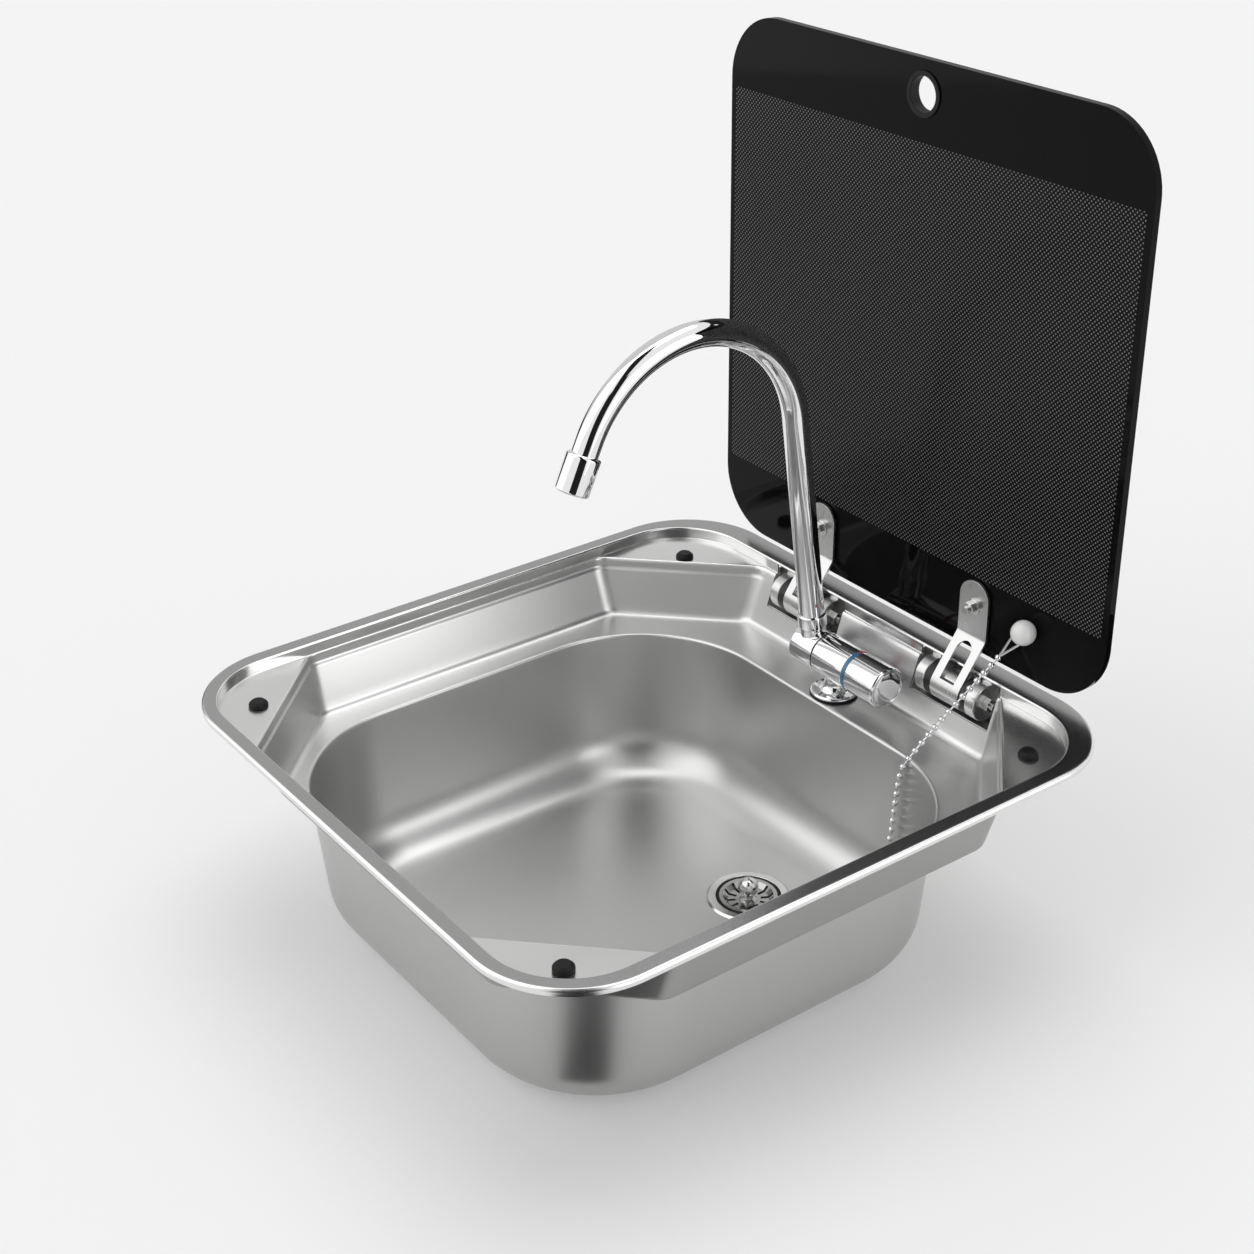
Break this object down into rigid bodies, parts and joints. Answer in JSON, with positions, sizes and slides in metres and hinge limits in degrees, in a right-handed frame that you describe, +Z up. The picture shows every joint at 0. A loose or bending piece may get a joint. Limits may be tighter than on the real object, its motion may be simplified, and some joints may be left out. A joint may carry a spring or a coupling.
{
  "type": "camper sink",
  "caption": "Square stainless camper sink with a stepped rim, hinged black glass lid, fold-down swivel tap, basket waste and a plug on a bead chain",
  "frame": {"origin": "middle of the rim on the plane of the worktop, where the turned-down edge of the rim rests", "axes": "+X runs along the hinge line to the right, +Y towards the hinges at the back, +Z up"},
  "size_m": [0.41, 0.4208, 0.568],
  "materials": {
    "basin_steel": "satin stainless sheet",
    "polished_steel": "polished stainless steel",
    "tap_chrome": "bright chrome plate",
    "brass": "plain brass",
    "black_rubber": "matt black rubber",
    "black_plastic": "satin black plastic",
    "white_plastic": "gloss white plastic",
    "blue_plastic": "blue marker band",
    "red_plastic": "red marker band",
    "black_glass": "black toughened glass with a fine dot print on its inner face"
  },
  "bodies": {
    "basin": {"sink_basin": "basin_steel", "lid_bumpers": "black_rubber", "rim_gasket": "black_rubber", "drain_flange": "polished_steel", "waste_gasket": "black_rubber", "waste_locknut": "black_plastic", "waste_tailpiece": "black_plastic", "tap_gasket": "black_rubber", "tap_base": "tap_chrome", "tap_shank": "brass", "cold_inlet_tail": "brass", "hot_inlet_tail": "brass", "tap_washer": "polished_steel", "tap_locknut": "brass", "tap_body": "tap_chrome", "mixing_cartridge": "brass", "cold_band": "blue_plastic", "hot_band": "red_plastic", "pivot_seal": "black_rubber", "left_hinge_ears": "polished_steel", "right_hinge_ears": "polished_steel", "left_hinge_cover": "basin_steel", "right_hinge_cover": "basin_steel", "left_hinge_axle": "polished_steel", "right_hinge_axle": "polished_steel", "left_friction_bush": "polished_steel", "right_friction_bush": "polished_steel", "friction_washers": "black_plastic", "hinge_nuts": "polished_steel", "plug_chain": "polished_steel", "sink_plug": "black_rubber", "plug_eye": "polished_steel"},
    "lid": {"lid_glass": "black_glass", "finger_grommet": "black_rubber", "left_lid_bracket": "polished_steel", "right_lid_bracket": "polished_steel", "bracket_pads": "black_rubber", "bracket_bolts": "polished_steel", "bracket_washers": "polished_steel", "bracket_nuts": "polished_steel", "chain_ball": "white_plastic", "chain_link": "polished_steel"},
    "pivot": {"spout_pivot": "tap_chrome"},
    "spout": {"spout_collar": "tap_chrome", "spout_tube": "tap_chrome", "aerator_sleeve": "tap_chrome", "aerator_insert": "black_plastic"},
    "knob": {"tap_knob": "tap_chrome", "knob_cap": "tap_chrome", "knob_spindle": "brass"},
    "strainer": {"strainer_basket": "polished_steel", "strainer_seal": "black_rubber", "strainer_stem": "polished_steel", "strainer_knob": "polished_steel"}
  },
  "joints": [
    {"name": "lid_hinge", "type": "hinge", "parent": "basin", "child": "lid", "pos_m": [0.006, 0.19, -0.012], "axis": [1, 0, 0], "range_deg": [0, 90], "deforming": ["plug_chain"]},
    {"name": "spout_fold", "type": "hinge", "parent": "basin", "child": "pivot", "pos_m": [-0.0245, 0.161, -0.018], "axis": [1, 0, 0], "range_deg": [0, 82.5]},
    {"name": "spout_swivel", "type": "hinge", "parent": "pivot", "child": "spout", "pos_m": [-0.0245, 0.161, -0.018], "axis": [0, -0.1305, 0.9914], "range_deg": [0, 90]},
    {"name": "knob_turn", "type": "hinge", "parent": "basin", "child": "knob", "pos_m": [0.02, 0.161, -0.018], "axis": [1, 0, 0], "range_deg": [-90, 90]},
    {"name": "strainer_lift", "type": "slide", "parent": "basin", "child": "strainer", "axis": [0, 0, 1], "range_m": [0, 0.025]}
  ],
  "couplings": [
    {"joint": "spout_fold", "follows": "lid_hinge", "ratio": 0.91667},
    {"joint": "spout_swivel", "follows": "lid_hinge", "ratio": 1}
  ]
}
